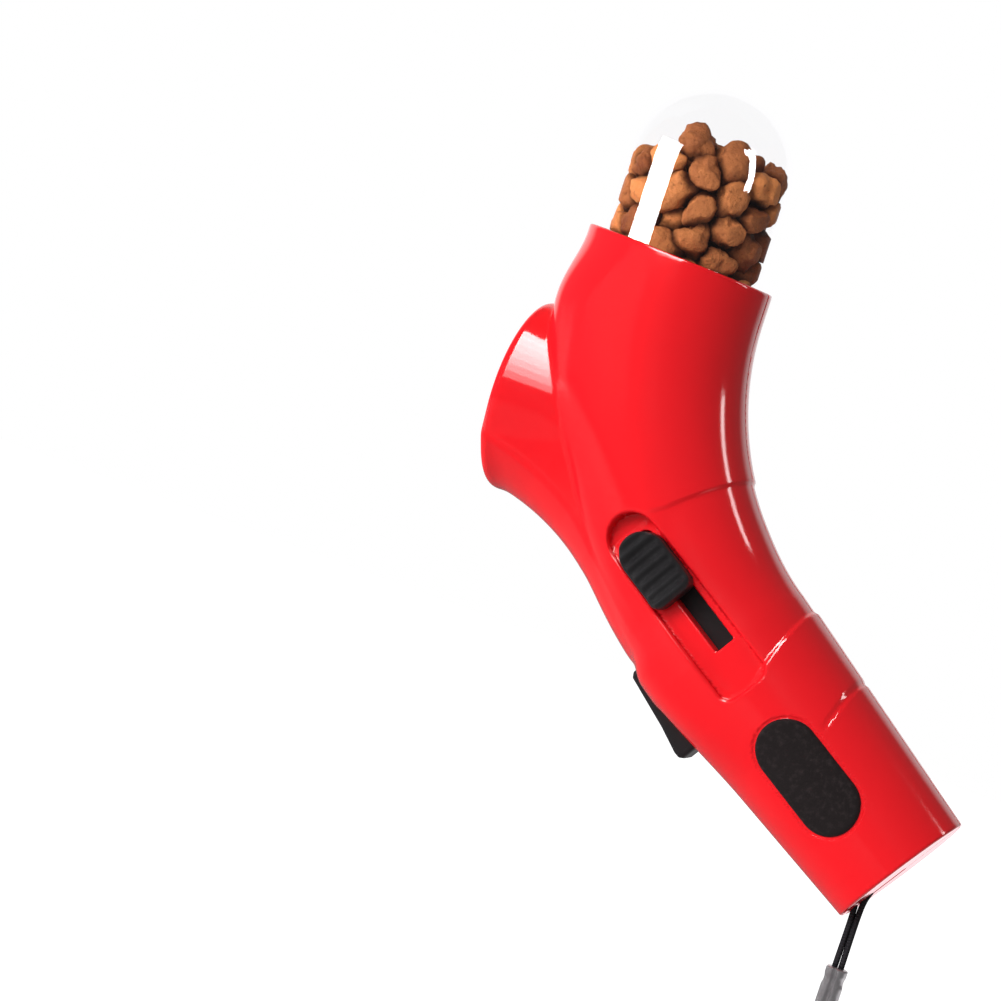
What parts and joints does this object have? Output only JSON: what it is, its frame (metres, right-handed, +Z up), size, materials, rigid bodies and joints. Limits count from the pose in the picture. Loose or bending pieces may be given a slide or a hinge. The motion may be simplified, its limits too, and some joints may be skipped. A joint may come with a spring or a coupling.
{
  "type": "treat launcher",
  "caption": "Hand-held pet treat launcher: clear domed canister feeding a sprung plunger in a bent red body, with side slider, trigger, grip pads and a wrist strap.",
  "frame": {"origin": "middle of the hand grip, on the handle's axis", "axes": "+Z up the canister, -X out of the nozzle, -Y the slider's side"},
  "size_m": [0.1379, 0.0511, 0.3092],
  "materials": {
    "red_plastic": "moulded, high gloss",
    "clear_plastic": "clear, polished",
    "black_plastic": "satin moulding",
    "pale_plastic": "natural moulding",
    "rubber": "matt",
    "steel": "plain",
    "bright_metal": "crimped, satin",
    "treat": "baked, rough",
    "cord": "woven"
  },
  "bodies": {
    "housing": {"left_shell": "red_plastic", "right_shell": "red_plastic", "shell_screws": "steel", "feed_funnel": "red_plastic", "launch_tube": "pale_plastic", "launch_spring": "steel", "spring_seat": "pale_plastic", "trigger_pin": "steel", "trigger_spring": "steel", "sear_pin": "steel", "left_grip_pad": "rubber", "right_grip_pad": "rubber", "strap_pin": "steel", "strap_cord": "cord", "strap_ferrule": "bright_metal", "wrist_loop": "cord"},
    "canister": {"canister": "clear_plastic", "canister_seal": "rubber", "treat_load": "treat"},
    "plunger": {"plunger": "pale_plastic", "plunger_pad": "rubber", "rod_collar": "black_plastic"},
    "slider": {"slider_knob": "black_plastic", "slider_carriage": "black_plastic", "slider_screw": "steel"},
    "trigger": {"trigger": "black_plastic"},
    "sear": {"sear": "black_plastic"}
  },
  "joints": [
    {"name": "slider_slide", "type": "slide", "parent": "housing", "child": "slider", "axis": [0.8387, 0, -0.5446], "range_m": [0, 0.026], "stiffness_N_per_m": 300, "springref_m": -0.01},
    {"name": "plunger_slide", "type": "slide", "parent": "housing", "child": "plunger", "axis": [0.8387, 0, -0.5446], "range_m": [0, 0.026], "deforming": ["launch_spring"]},
    {"name": "trigger_pivot", "type": "hinge", "parent": "housing", "child": "trigger", "pos_m": [-0.03855, 0, 0.00214], "axis": [0, -1, 0], "range_deg": [0, 9], "stiffness_Nm_per_rad": 0.15, "springref_deg": -5.73, "deforming": ["trigger_spring"]},
    {"name": "sear_pivot", "type": "hinge", "parent": "housing", "child": "sear", "pos_m": [-0.02107, 0, -0.00122], "axis": [0, 1, 0], "range_deg": [0, 14.4]},
    {"name": "canister_lift", "type": "slide", "parent": "housing", "child": "canister", "axis": [0, 0, 1], "range_m": [0, 0.06]}
  ],
  "couplings": [
    {"joint": "plunger_slide", "follows": "slider_slide", "ratio": 1},
    {"joint": "sear_pivot", "follows": "trigger_pivot", "ratio": 1.6}
  ]
}
